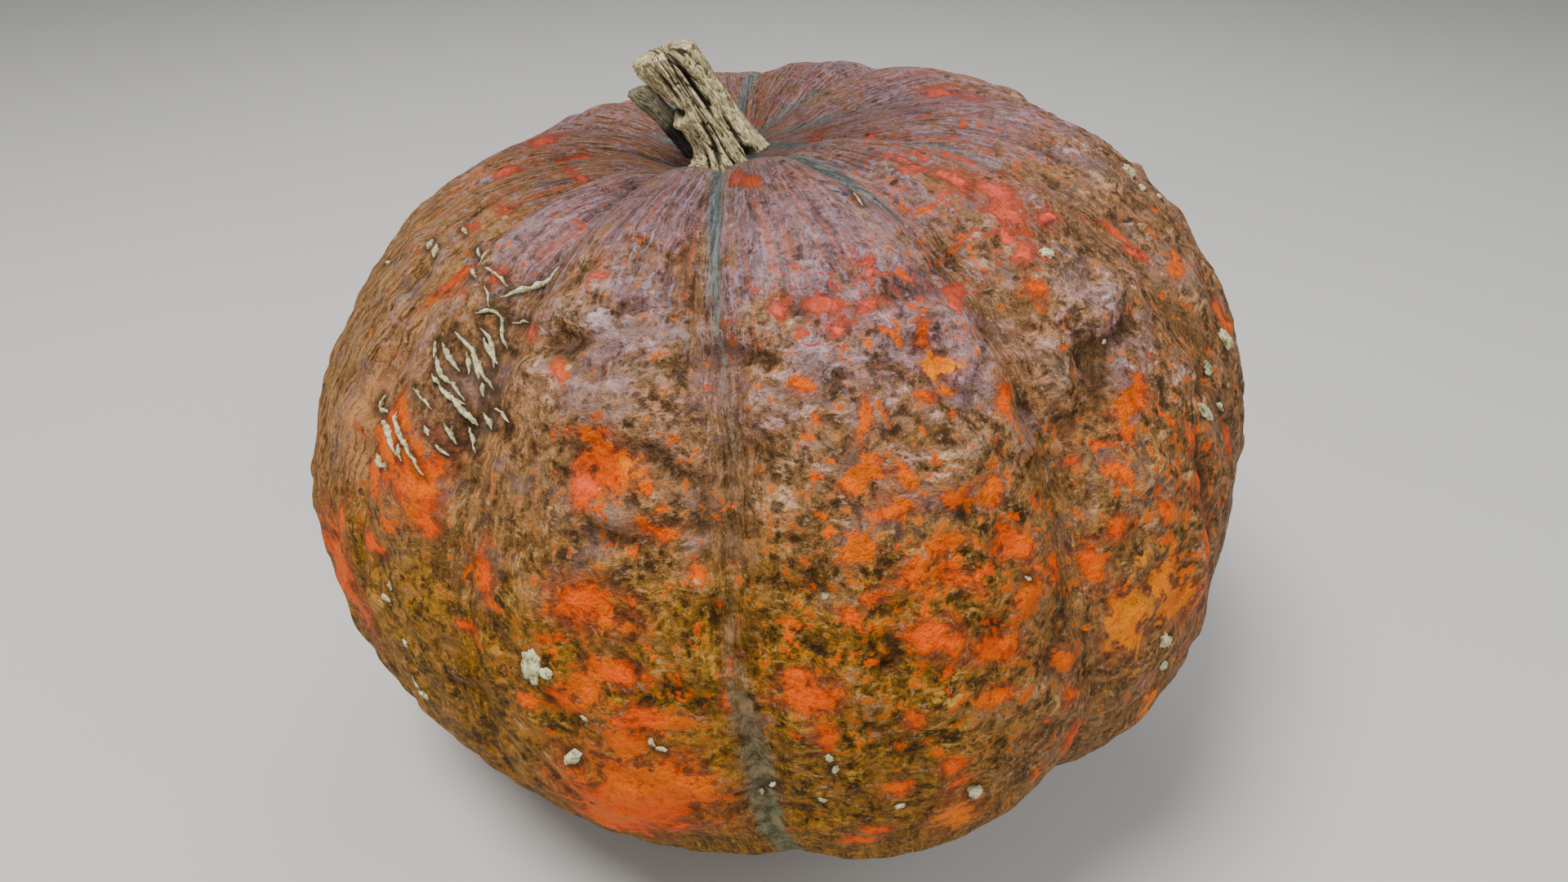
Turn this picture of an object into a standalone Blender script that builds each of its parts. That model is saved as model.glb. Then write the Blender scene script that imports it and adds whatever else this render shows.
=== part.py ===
"""A ripe ribbed pumpkin as picked, lying tipped a little to one side on its flattened underside.

Three pieces: the fruit, its dry woody stem, and the short stub of a side stalk at the stem's foot.
Metres, +Z up, the centre of the flat resting spot at the origin.
"""

import math

import bmesh
import bpy
from mathutils import Matrix, Vector

MM = 0.001

# ---- the fruit
FRUIT_RADIUS = 150 * MM
FRUIT_TOP_HEIGHT = 120 * MM
FRUIT_BOTTOM_HEIGHT = 105 * MM
TOP_FULLNESS = 2.15
BOTTOM_FULLNESS = 2.4
CROWN_DIP = 22.7 * MM
CROWN_DIP_REACH = 59 * MM
FRUIT_LEAN = math.radians(7.2)
RESTING_CUT = 4 * MM
REST_SPOT_FROM_CENTRE = -24 * MM

# Where each furrow runs, in degrees round the axis from the front, and how each rib differs from
# its neighbours at the shoulder, at its widest and low down, in millimetres.
FURROW_ANGLES = [-150, -116, -80, -51, -31, -2, 31, 60, 104, 144, 175]
RIB_SHOULDER = [-2.5, -2, 0, 0, 0, 0, 0, 0, -0.5, 0.5, 0]
RIB_SWELL = [-0.5, 3, 1.5, -2, -1, 3, 0, -0.5, 0, 0, 0]
RIB_SAG = [0, 0, 0.5, -2.5, -1, 2.5, 2.5, 0.5, 0, 0, 0]
FURROW_DEPTH_SHOULDER = 6 * MM
FURROW_DEPTH_WAIST = 3.5 * MM
FURROW_DEPTH_LOW = 2.2 * MM
RIB_ROUNDNESS = 0.75
STEPS_PER_RIB = 10
FRUIT_RINGS = 36

# ---- the stem
STEM_FOOT = Vector((-0.7 * MM, 0, -8 * MM))
STEM_LENGTH = 42 * MM
STEM_LEAN_LOW = math.radians(24)
STEM_LEAN_TOP = math.radians(35)
STEM_RADIUS = 8.6 * MM
STEM_FLARE = 4.6 * MM
STEM_FLARE_REACH = 10 * MM
STEM_FLUTES = 7
STEM_FLUTE_DEPTH = 0.7 * MM
STEM_CUT_SLOPE = math.radians(17)

# ---- the stub of a side stalk
STUB_FOOT = Vector((-12.5 * MM, -1 * MM, -2.5 * MM))
STUB_LENGTH = 26.5 * MM
STUB_LEAN_LOW = math.radians(34)
STUB_LEAN_TOP = math.radians(47)
STUB_RADIUS = 2.9 * MM
STUB_FLUTES = 5
STUB_FLUTE_DEPTH = 0.35 * MM
STUB_CUT_SLOPE = math.radians(28)

GAP = 0.3 * MM


def start_clean():
    for obj in list(bpy.data.objects):
        bpy.data.objects.remove(obj, do_unlink=True)


def collection(name):
    made = bpy.data.collections.new(name)
    bpy.context.scene.collection.children.link(made)
    return made


def material(name, colour, roughness):
    made = bpy.data.materials.new(name)
    made.use_nodes = True
    shader = made.node_tree.nodes["Principled BSDF"]
    shader.inputs["Base Color"].default_value = (*colour, 1)
    shader.inputs["Roughness"].default_value = roughness
    return made


def add_object(name, bm, home, finish=None):
    mesh = bpy.data.meshes.new(name)
    bm.to_mesh(mesh)
    bm.free()
    obj = bpy.data.objects.new(name, mesh)
    home.objects.link(obj)
    if finish:
        mesh.materials.append(finish)
    else:
        obj.hide_render = True
        obj.display_type = "WIRE"
    return obj


def cut(obj, cutter):
    boolean = obj.modifiers.new("cut by " + cutter.name, "BOOLEAN")
    boolean.operation = "DIFFERENCE"
    boolean.solver = "EXACT"
    boolean.object = cutter


def blend(x, stops):
    """The value at x between (place, value) stops, in straight steps."""
    for (x0, y0), (x1, y1) in zip(stops, stops[1:]):
        if x <= x1:
            return y0 + (y1 - y0) * max(0.0, (x - x0) / (x1 - x0))
    return stops[-1][1]


def hump(x, centre, width):
    return math.exp(-(((x - centre) / width) ** 2))


def furrow_depth(polar):
    return blend(
        polar,
        [
            (0, 0),
            (4, 0.3 * MM),
            (14, 0.8 * FURROW_DEPTH_SHOULDER),
            (40, FURROW_DEPTH_SHOULDER),
            (90, FURROW_DEPTH_WAIST),
            (130, FURROW_DEPTH_LOW),
            (155, 0.5 * MM),
            (165, 0),
            (180, 0),
        ],
    )


def fruit_point(turn, polar, grow):
    """A point of the skin about the fruit's own centre. turn counts ribs from the first furrow and
    polar is the angle from the stem end in degrees."""
    ribs = len(FURROW_ANGLES)
    turn %= ribs
    rib = min(int(turn), ribs - 1)
    across = turn - rib
    start = FURROW_ANGLES[rib]
    end = FURROW_ANGLES[(rib + 1) % ribs] + (360 if rib + 1 == ribs else 0)
    azimuth = math.radians(start + (end - start) * across)

    t = math.radians(polar)
    sine, cosine = max(math.sin(t), 0.0), math.cos(t)
    if cosine >= 0:
        fullness, height = TOP_FULLNESS, FRUIT_TOP_HEIGHT
    else:
        fullness, height = BOTTOM_FULLNESS, -FRUIT_BOTTOM_HEIGHT
    radius = FRUIT_RADIUS * sine ** (2 / fullness)
    z = height * abs(cosine) ** (2 / fullness)

    arch = (4 * across * (1 - across)) ** RIB_ROUNDNESS
    own = math.sin(math.pi * across) * MM * (
        RIB_SHOULDER[rib] * hump(polar, 42, 20)
        + RIB_SWELL[rib] * hump(polar, 80, 38)
        + RIB_SAG[rib] * hump(polar, 118, 24)
    )
    outward = furrow_depth(polar) * (arch - 1) + own + grow
    if cosine >= 0:
        z -= CROWN_DIP * math.exp(-((radius / CROWN_DIP_REACH) ** 2))
    radius += outward * sine
    z += outward * cosine
    return Vector((radius * math.sin(azimuth), -radius * math.cos(azimuth), z))


def fruit_placement():
    """Leans the fruit towards -X and sinks its lowest point below the resting plane by the cut.

    The lowest point of a superellipse whose half-axes are a and c lies at the depth h, where
    h**m = (a sin lean)**m + (c cos lean)**m and m is the fullness over itself less one."""
    lean = Matrix.Rotation(-FRUIT_LEAN, 4, "Y")
    m = BOTTOM_FULLNESS / (BOTTOM_FULLNESS - 1)
    across = FRUIT_RADIUS * math.sin(FRUIT_LEAN)
    down = FRUIT_BOTTOM_HEIGHT * math.cos(FRUIT_LEAN)
    depth = (across**m + down**m) ** (1 / m)
    return Matrix.Translation(Vector((-REST_SPOT_FROM_CENTRE, 0, depth - RESTING_CUT))) @ lean


def fruit_mesh(grow=0.0):
    bm = bmesh.new()
    segments = STEPS_PER_RIB * len(FURROW_ANGLES)
    bmesh.ops.create_uvsphere(bm, u_segments=segments, v_segments=FRUIT_RINGS, radius=1)
    place = fruit_placement()
    for v in bm.verts:
        turn = math.atan2(v.co.x, -v.co.y) / math.tau * segments
        polar = math.degrees(math.acos(max(-1.0, min(1.0, v.co.z))))
        v.co = place @ fruit_point(round(turn) / STEPS_PER_RIB, polar, grow)
    return bm


def crown():
    """The bottom of the hollow at the stem end."""
    return fruit_placement() @ Vector((0, 0, FRUIT_TOP_HEIGHT - CROWN_DIP))


def stalk_mesh(foot, length, lean_low, lean_top, radius_at, flutes, flute_depth, cut_slope, grow=0.0):
    """A fluted stalk: a circle carried up a path that leans towards -X, with a sloping cut end."""
    sides, steps = 42, 14
    bm = bmesh.new()
    bmesh.ops.create_circle(bm, cap_ends=True, radius=1, segments=sides)
    bm.verts.ensure_lookup_table()
    ring = list(bm.verts)
    start = crown() + foot
    for step in range(steps + 1):
        along = step / steps
        lean = lean_low + (lean_top - lean_low) * along
        if step:
            middle = (lean + lean_before) / 2
            start = start + Vector((-math.sin(middle), 0, math.cos(middle))) * (length / steps)
            edges = [e for e in bm.edges if e.verts[0] in ring_set and e.verts[1] in ring_set]
            out = bmesh.ops.extrude_edge_only(bm, edges=edges)["geom"]
            fresh = [g for g in out if isinstance(g, bmesh.types.BMVert)]
            order = {}
            for v in fresh:
                order[min(range(sides), key=lambda i: (ring[i].co - v.co).length)] = v
            ring = [order[i] for i in range(sides)]
        right = Vector((math.cos(lean), 0, math.sin(lean)))
        up = Vector((-math.sin(lean), 0, math.cos(lean)))
        for i, v in enumerate(ring):
            angle = math.tau * i / sides
            flute = flute_depth * (abs(math.cos(angle * flutes / 2)) - 1)
            r = radius_at(along * length) + flute + grow
            side = right * math.cos(angle) + Vector((0, 1, 0)) * math.sin(angle)
            slope = -math.tan(cut_slope) * r * math.cos(angle) * along**6
            v.co = start + side * r + up * slope
        if step == steps and grow:
            for v in ring:
                v.co += up * grow
        ring_set = set(ring)
        lean_before = lean
    end_edges = [e for e in bm.edges if e.verts[0] in ring_set and e.verts[1] in ring_set]
    bmesh.ops.contextual_create(bm, geom=end_edges)
    bmesh.ops.recalc_face_normals(bm, faces=bm.faces)
    return bm


def stem_radius(along):
    return STEM_RADIUS + STEM_FLARE * math.exp(-((along / STEM_FLARE_REACH) ** 2))


def stub_radius(along):
    return STUB_RADIUS * (1.12 - 0.2 * along / STUB_LENGTH)


def stem_mesh(grow=0.0):
    return stalk_mesh(
        STEM_FOOT,
        STEM_LENGTH,
        STEM_LEAN_LOW,
        STEM_LEAN_TOP,
        stem_radius,
        STEM_FLUTES,
        STEM_FLUTE_DEPTH,
        STEM_CUT_SLOPE,
        grow,
    )


def stub_mesh():
    return stalk_mesh(
        STUB_FOOT,
        STUB_LENGTH,
        STUB_LEAN_LOW,
        STUB_LEAN_TOP,
        stub_radius,
        STUB_FLUTES,
        STUB_FLUTE_DEPTH,
        STUB_CUT_SLOPE,
    )


def table_block():
    bm = bmesh.new()
    bmesh.ops.create_cube(bm, size=1)
    side, thick = 3 * FRUIT_RADIUS, 0.2 * FRUIT_RADIUS
    bmesh.ops.scale(bm, vec=(side, side, thick), verts=bm.verts)
    bmesh.ops.translate(bm, vec=(0, 0, -thick / 2), verts=bm.verts)
    return bm


start_clean()
pumpkin = collection("pumpkin")
cutters = collection("cutters")
cutters.hide_render = True

skin = material("skin", (0.28, 0.11, 0.05), 0.5)
dry_wood = material("dry_wood", (0.33, 0.27, 0.18), 0.85)
charred_wood = material("charred_wood", (0.2, 0.16, 0.11), 0.9)

table = add_object("resting_plane", table_block(), cutters)
fruit_clearance = add_object("fruit_clearance", fruit_mesh(GAP), cutters)
stem_clearance = add_object("stem_clearance", stem_mesh(GAP), cutters)

fruit = add_object("fruit", fruit_mesh(), pumpkin, skin)
cut(fruit, table)

stem = add_object("stem", stem_mesh(), pumpkin, dry_wood)
cut(stem, fruit_clearance)

stub = add_object("stem_stub", stub_mesh(), pumpkin, charred_wood)
cut(stub, fruit_clearance)
cut(stub, stem_clearance)
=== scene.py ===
import math

import bpy
import numpy as np
from mathutils import Matrix, Vector


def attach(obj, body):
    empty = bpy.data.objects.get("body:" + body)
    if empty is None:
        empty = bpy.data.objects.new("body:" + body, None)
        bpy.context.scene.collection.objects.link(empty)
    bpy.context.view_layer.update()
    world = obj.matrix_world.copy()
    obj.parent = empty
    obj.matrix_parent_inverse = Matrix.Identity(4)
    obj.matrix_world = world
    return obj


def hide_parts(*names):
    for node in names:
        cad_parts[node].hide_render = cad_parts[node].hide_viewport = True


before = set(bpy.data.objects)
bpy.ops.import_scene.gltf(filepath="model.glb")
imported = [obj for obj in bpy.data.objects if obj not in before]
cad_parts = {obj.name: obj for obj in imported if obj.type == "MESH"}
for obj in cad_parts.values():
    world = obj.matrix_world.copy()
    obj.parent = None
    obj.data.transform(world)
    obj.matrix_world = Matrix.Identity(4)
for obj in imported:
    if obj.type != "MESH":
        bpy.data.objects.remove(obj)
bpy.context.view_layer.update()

# ======================================================================================
# The fruit: one grown body of flesh under a thin waxy rind. Eleven ribs swell between
# furrows that run from the stem's hollow to the underside; the rind is lumpy round the
# middle, finely ridged near the stem, and flattened where the fruit lay on the ground.
# ======================================================================================

RADIUS = 0.150
TOP_HEIGHT = 0.120
BOTTOM_HEIGHT = 0.105
TOP_FULLNESS = 2.15
BOTTOM_FULLNESS = 2.4
CROWN_DIP = 0.0227
CROWN_DIP_REACH = 0.059
LEAN = math.radians(7.2)
RESTING_CUT = 0.004
CENTRE_FROM_SPOT = 0.024
MEETING_POINT = np.array([-0.0024, 0.0053])
FURROWS = np.array([-150, -116, -80, -51, -31, -2, 31, 60, 104, 144, 175], float)
FURROW_BOLDNESS = np.array([1, 1, 1, 1, 1, 1, 1, 1, 1, 1.3, 0.35])
RIB_SHOULDER = np.array([-2.5, -2, 0, 0, 0, 0, 0, 0, -0.5, 0.5, 0])
RIB_SWELL = np.array([-0.5, 3, 1.5, -2, -1, 3, 0, -0.5, 0, 0, 0])
RIB_SAG = np.array([0, 0, 0.5, -2.5, -1, 2.5, 2.5, 0.5, 0, 0, 0])
MM = 0.001


def lattice_hash(x, y, z, seed):
    """A well-mixed whole number for each lattice corner: sums of products with large odd numbers,
    shifted and mixed."""
    h = x * np.uint32(374761393) + y * np.uint32(668265263) + z * np.uint32(2246822519)
    h = h + np.uint32(seed * 3266489917 % 4294967296)
    h = (h ^ (h >> np.uint32(15))) * np.uint32(2654435761)
    h = (h ^ (h >> np.uint32(13))) * np.uint32(1274126177)
    return h ^ (h >> np.uint32(16))


def gradient_noise(points, seed):
    """Gradient noise of points (..., 3), about -1 to 1: each lattice corner has a random slope, and
    the eight slopes round a point are blended by the curve 6t^5 - 15t^4 + 10t^3."""
    cell = np.floor(points)
    inside = points - cell
    ease = inside**3 * (inside * (inside * 6 - 15) + 10)
    base = cell.astype(np.int64).astype(np.uint32)
    total = np.zeros(points.shape[:-1])
    for corner in range(8):
        step = np.array([corner & 1, corner >> 1 & 1, corner >> 2 & 1])
        at = base + step.astype(np.uint32)
        h = lattice_hash(at[..., 0], at[..., 1], at[..., 2], seed)
        slope = np.stack([(h >> np.uint32(s) & np.uint32(1023)) / 511.5 - 1 for s in (0, 10, 20)], -1)
        weight = np.prod(np.where(step == 1, ease, 1 - ease), -1)
        total += weight * ((inside - step) * slope).sum(-1)
    return total * 1.3


def layered_noise(points, size, layers, gain, seed):
    """Sum of gradient noises, each half the size of the last and gain times as strong."""
    total, strength, whole = 0, 1.0, 0.0
    for layer in range(layers):
        total = total + strength * gradient_noise(points / size, seed + layer)
        whole += strength
        strength, size = strength * gain, size / 2
    return total / whole


def ease_between(x, low, high):
    """0 below low, 1 above high, and 3t^2 - 2t^3 between them."""
    t = np.clip((x - low) / (high - low), 0, 1)
    return t * t * (3 - 2 * t)


def bump(x, centre, width):
    """A bell: e to the power of minus the square of the distance over the width."""
    return np.exp(-(((x - centre) / width) ** 2))


def rib_of(azimuth):
    """Which rib an azimuth in degrees lies on, how far across it from 0 to 1, and the rib's width."""
    ends = np.append(FURROWS, FURROWS[0] + 360)
    turned = (azimuth - FURROWS[0]) % 360 + FURROWS[0]
    rib = np.clip(np.searchsorted(ends, turned, side="right") - 1, 0, len(FURROWS) - 1)
    width = ends[rib + 1] - ends[rib]
    return rib, (turned - ends[rib]) / width, width


def furrow_azimuth(azimuth, polar, radius):
    """The azimuth by which the furrows are laid out: seen from the point where they meet, which lies
    a little behind the axis near the stem, and bent by two slow waves lower down."""
    a = np.radians(azimuth)
    near = 1 - ease_between(polar, 12, 42)
    x = radius * np.sin(a) - MEETING_POINT[0] * near
    y = -radius * np.cos(a) - MEETING_POINT[1] * near
    slow = 0.8 * np.sin(np.radians(polar * 5.3) + 2.0 * a) + 0.5 * np.sin(np.radians(polar * 11) - 3.0 * a)
    slow = slow * ease_between(polar, 20, 45) * (1 - ease_between(polar, 130, 160))
    return np.degrees(np.arctan2(x, -y)) + slow


# Lumps and pits that stand out: azimuth and polar angle, half width and half height in
# degrees, tilt in degrees, and height in millimetres.
LUMPS = [
    (-19, 12, 8, 6, 0, 2.6), (14, 12, 9, 6, 0, 2.6), (47, 11, 8, 5, 0, 1.2), (-19, 41, 7, 1.6, 14, 3.2),
    (-22, 43.5, 2.2, 1.6, 0, -3.6), (-26, 47, 3.5, 3, 0, 2.2), (-13, 49, 4, 3, 0, 2.0),
    (-14, 61, 4, 2.2, 10, 2.4), (-13, 63.8, 2.4, 1.2, 0, -2.8), (1.5, 41, 2.4, 2.2, 0, 2.8),
    (0, 45, 3.2, 1.4, 30, -3.0), (9, 47.5, 4, 2, -10, 2.2), (15, 44.5, 3, 1.6, 0, -2.2),
    (22, 40, 2.6, 1.6, 0, -2.4), (27, 45.5, 3.5, 2.2, 0, 2.0), (36, 56, 2.2, 4, 12, 3.2),
    (40, 58.5, 2.0, 3.2, -8, -2.6), (35, 62.5, 2.6, 1.3, 0, -3.0), (45, 56.5, 3.4, 1.6, 0, -3.4),
    (46, 53, 4, 2.4, 0, 2.2), (2.5, 62, 3, 2.6, 0, 2.6), (-4.5, 70, 2, 1.6, 0, 2.2), (-7, 77, 3, 3, 0, 1.8),
    (52, 66, 4.5, 1.8, 28, 2.8), (57, 69.5, 4, 1.5, 28, -2.4), (41, 71, 3, 4, 0, 2.4),
    (20, 60, 3.5, 3, 0, 1.6), (10.5, 79.5, 1.2, 0.8, 0, -2.6), (15.5, 86, 2.2, 3.2, 0, 1.6),
    (27, 84, 2, 5, 10, -1.8), (-22, 70, 3.4, 4, 0, 1.6), (-28, 62, 2.6, 5, 0, -1.6),
    (-33, 58, 1.6, 7, 0, -2.2), (-42, 61, 6, 7, 0, 2.6), (-47, 46, 4, 5, 0, 1.8), (-41, 33, 4, 6, 0, 1.8),
    (-15, 97, 8, 8, 0, 2.0), (5, 76, 2.4, 5, 0, -1.6), (47, 85, 1.4, 7, 0, 1.8), (51, 80, 1.6, 9, 0, -2.2),
    (66, 60, 5, 5, 0, 2.0), (72, 44, 5, 4, 0, 2.0),
]


def placed_lumps(azimuth, polar):
    """Sum of the listed lumps, each a bell over its own turned ellipse. Metres."""
    total = np.zeros(np.broadcast(azimuth, polar).shape)
    for az, at, wide, high, tilt, height in LUMPS:
        across = ((azimuth - az + 180) % 360 - 180) * math.sin(math.radians(max(at, 20)))
        down = polar - at
        c, s = math.cos(math.radians(tilt)), math.sin(math.radians(tilt))
        along, beside = across * c + down * s, down * c - across * s
        total += height * MM * np.exp(-((along / wide) ** 2) - (beside / high) ** 2)
    return total


def rind(azimuth, polar):
    """Points of the rind about the fruit's centre, and its relief. azimuth is in degrees round the
    axis from the front and polar in degrees from the stem end.

    The body is a superellipse turned about the axis: radius a sin(t)^(2/n), height
    c cos(t)^(2/n), less a bell-shaped hollow at the crown. Ribs lift it by an arch
    (4s(1-s))^k between furrows, and lumps, creases and fine ridges are added along
    the same outward direction (sin t, cos t)."""
    azimuth, polar = np.broadcast_arrays(np.asarray(azimuth, float), np.asarray(polar, float))
    t = np.radians(polar)
    sine, cosine = np.maximum(np.sin(t), 0), np.cos(t)
    upper = cosine >= 0
    fullness = np.where(upper, TOP_FULLNESS, BOTTOM_FULLNESS)
    height = np.where(upper, TOP_HEIGHT, BOTTOM_HEIGHT)
    radius = RADIUS * sine ** (2 / fullness)
    z = np.sign(cosine) * height * np.abs(cosine) ** (2 / fullness)

    rib, across, width = rib_of(furrow_azimuth(azimuth, polar, radius))
    arch = (4 * across * (1 - across)) ** 0.72
    depth = np.interp(polar, [0, 4, 14, 40, 90, 130, 155, 165], [0, 0.4, 4.8, 6, 3.6, 2.4, 0.5, 0])
    bold = FURROW_BOLDNESS[rib] * (1 - across) + np.roll(FURROW_BOLDNESS, -1)[rib] * across
    depth = depth * bold
    own = np.sin(np.pi * across) * (
        RIB_SHOULDER[rib] * bump(polar, 42, 20)
        + RIB_SWELL[rib] * bump(polar, 80, 38)
        + RIB_SAG[rib] * bump(polar, 118, 24)
    )
    crease_distance = np.minimum(across, 1 - across) * np.radians(width) * np.maximum(radius, 1e-5) / MM
    crease_depth = np.interp(polar, [0, 6, 16, 50, 120, 150], [0, 0.2, 0.5, 0.5, 0.5, 0])
    crease = -np.exp(-((crease_distance / 2.6) ** 2)) * crease_depth

    a = np.radians(azimuth)
    arc = t * 0.135
    wrap = np.stack([np.cos(a) * radius, np.sin(a) * radius, arc], -1)
    drift = layered_noise(wrap + 3.0, 0.050, 3, 0.5, 11)
    warped = wrap + 0.008 * drift[..., None]
    middle = ease_between(polar, 24, 44) * (1 - 0.55 * ease_between(polar, 86, 112))
    middle = middle * (1 - ease_between(polar, 138, 158))
    middle = middle * (0.55 + 0.45 * bump((azimuth - 12 + 180) % 360 - 180, 0, 55))
    swell = layered_noise(warped, 0.034, 2, 0.5, 21) * 2.8
    folds = (0.24 - np.abs(layered_noise(warped * np.array([1, 1, 1.15]), 0.019, 2, 0.55, 31))) * -5.0
    pimples = layered_noise(warped, 0.0095, 2, 0.6, 41) * 1.7
    lumpy = middle * (swell + folds + pimples)

    shoulder = ease_between(polar, 6, 18) * (1 - 0.75 * ease_between(polar, 40, 70))
    grain = np.stack([np.cos(a) * 3.1, np.sin(a) * 3.1, arc * 9], -1)
    hair = np.stack([np.cos(a) * 9.5, np.sin(a) * 9.5, arc * 14], -1)
    coarse, fine = layered_noise(grain, 0.30, 2, 0.5, 51), layered_noise(hair, 0.30, 2, 0.6, 61)
    ridges = shoulder * (coarse * 1.5 + fine * 0.7)

    relief = lumpy + ridges + crease + placed_lumps(azimuth, polar) / MM
    outward = (depth * (arch - 1) + own + relief) * MM
    # The crown's hollow, steeper and deeper on the side the stem leans over.
    hollow = CROWN_DIP * np.exp(-((radius / CROWN_DIP_REACH) ** 2))
    side = 0.5 + 0.5 * np.cos(np.radians(azimuth + 78))
    pocket = 0.0065 * side * np.exp(-(((radius - 0.014) / 0.013) ** 2))
    z = np.where(upper, z - hollow - pocket, z)
    radius = np.maximum(radius + outward * sine, 0)
    z = z + outward * cosine
    return np.stack([radius * np.sin(a), -radius * np.cos(a), z], -1), relief, crease_distance


def standing(points):
    """Leans points about the fruit's centre towards -X, lifts them by the height of the leaned body
    less the resting cut, and presses flat whatever lies under the resting plane."""
    m = BOTTOM_FULLNESS / (BOTTOM_FULLNESS - 1)
    drop = ((RADIUS * math.sin(LEAN)) ** m + (BOTTOM_HEIGHT * math.cos(LEAN)) ** m) ** (1 / m)
    c, s = math.cos(LEAN), math.sin(LEAN)
    turn = np.array([[c, 0, -s], [0, 1, 0], [s, 0, c]])
    placed = points @ turn.T + np.array([CENTRE_FROM_SPOT, 0, drop - RESTING_CUT])
    placed[..., 2] = np.maximum(placed[..., 2], 0)
    return placed


def skin_frame(azimuth, polar):
    """Point, outward normal, and the directions round and down the rind there, by small differences."""
    step = 0.15
    here = standing(rind(azimuth, polar)[0])
    around = standing(rind(azimuth + step, polar)[0]) - standing(rind(azimuth - step, polar)[0])
    down = standing(rind(azimuth, polar + step)[0]) - standing(rind(azimuth, polar - step)[0])
    around /= np.linalg.norm(around, axis=-1, keepdims=True)
    down /= np.linalg.norm(down, axis=-1, keepdims=True)
    normal = np.cross(down, around)
    return here, normal / np.linalg.norm(normal, axis=-1, keepdims=True), around, down


def closed_grids(name, grids):
    """One mesh of grids that each close on themselves across their columns, with both end rows drawn
    to a point. Each is (rows, columns, 3), and its faces look outwards when the columns run
    anticlockwise about the direction from its first row to its last."""
    vertices, quads, triangles, start = [], [], [], 0
    for points in grids:
        rows, columns = points.shape[:2]
        index = np.arange(rows * columns).reshape(rows, columns) + start
        beside = np.roll(index, -1, axis=1)
        first, last = start + rows * columns, start + rows * columns + 1
        vertices.append(np.concatenate([points.reshape(-1, 3), [points[0].mean(0), points[-1].mean(0)]]))
        quads.append(np.stack([index[:-1], beside[:-1], beside[1:], index[1:]], -1).reshape(-1, 4))
        triangles.append(np.stack([beside[0], index[0], np.full(columns, first)], -1))
        triangles.append(np.stack([index[-1], beside[-1], np.full(columns, last)], -1))
        start += rows * columns + 2
    return mesh_of(name, np.concatenate(vertices), [np.concatenate(quads), np.concatenate(triangles)])


def mesh_of(name, vertices, groups):
    """A smooth-shaded mesh object from vertices and groups of faces with equal corner counts."""
    mesh = bpy.data.meshes.new(name)
    corners = np.concatenate([g.ravel() for g in groups])
    sizes = np.concatenate([np.full(len(g), g.shape[1]) for g in groups])
    mesh.vertices.add(len(vertices))
    mesh.loops.add(len(corners))
    mesh.polygons.add(len(sizes))
    mesh.vertices.foreach_set("co", np.asarray(vertices, np.float32).ravel())
    mesh.loops.foreach_set("vertex_index", corners.astype(np.int32))
    mesh.polygons.foreach_set("loop_start", (np.cumsum(sizes) - sizes).astype(np.int32))
    mesh.polygons.foreach_set("use_smooth", np.ones(len(sizes), bool))
    mesh.update(calc_edges=True)
    obj = bpy.data.objects.new(name, mesh)
    bpy.context.scene.collection.objects.link(obj)
    return obj


def give(obj, name, values):
    """Stores a number or a vector for each vertex under a name that the materials read."""
    values = np.asarray(values, np.float32)
    if values.ndim == 1:
        layer = obj.data.attributes.new(name, "FLOAT", "POINT")
        layer.data.foreach_set("value", values)
    else:
        layer = obj.data.attributes.new(name, "FLOAT_VECTOR", "POINT")
        layer.data.foreach_set("vector", values.ravel())


ROUND = 432
DOWN = 227
fruit_azimuth = np.arange(ROUND) * 360 / ROUND - 180 + 0.2
fruit_polar = np.linspace(0.7, 179.3, DOWN)
AZ, POLAR = np.meshgrid(fruit_azimuth, fruit_polar)
rind_points, relief, crease_distance = rind(AZ, POLAR)
fruit = closed_grids("fruit_rind", [standing(rind_points)])


def with_ends(grid):
    """A grid's values in vertex order, with the two end points given their rows' means."""
    flat = grid.reshape(-1, *grid.shape[2:])
    return np.concatenate([flat, [grid[0].mean(0), grid[-1].mean(0)]])


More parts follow.
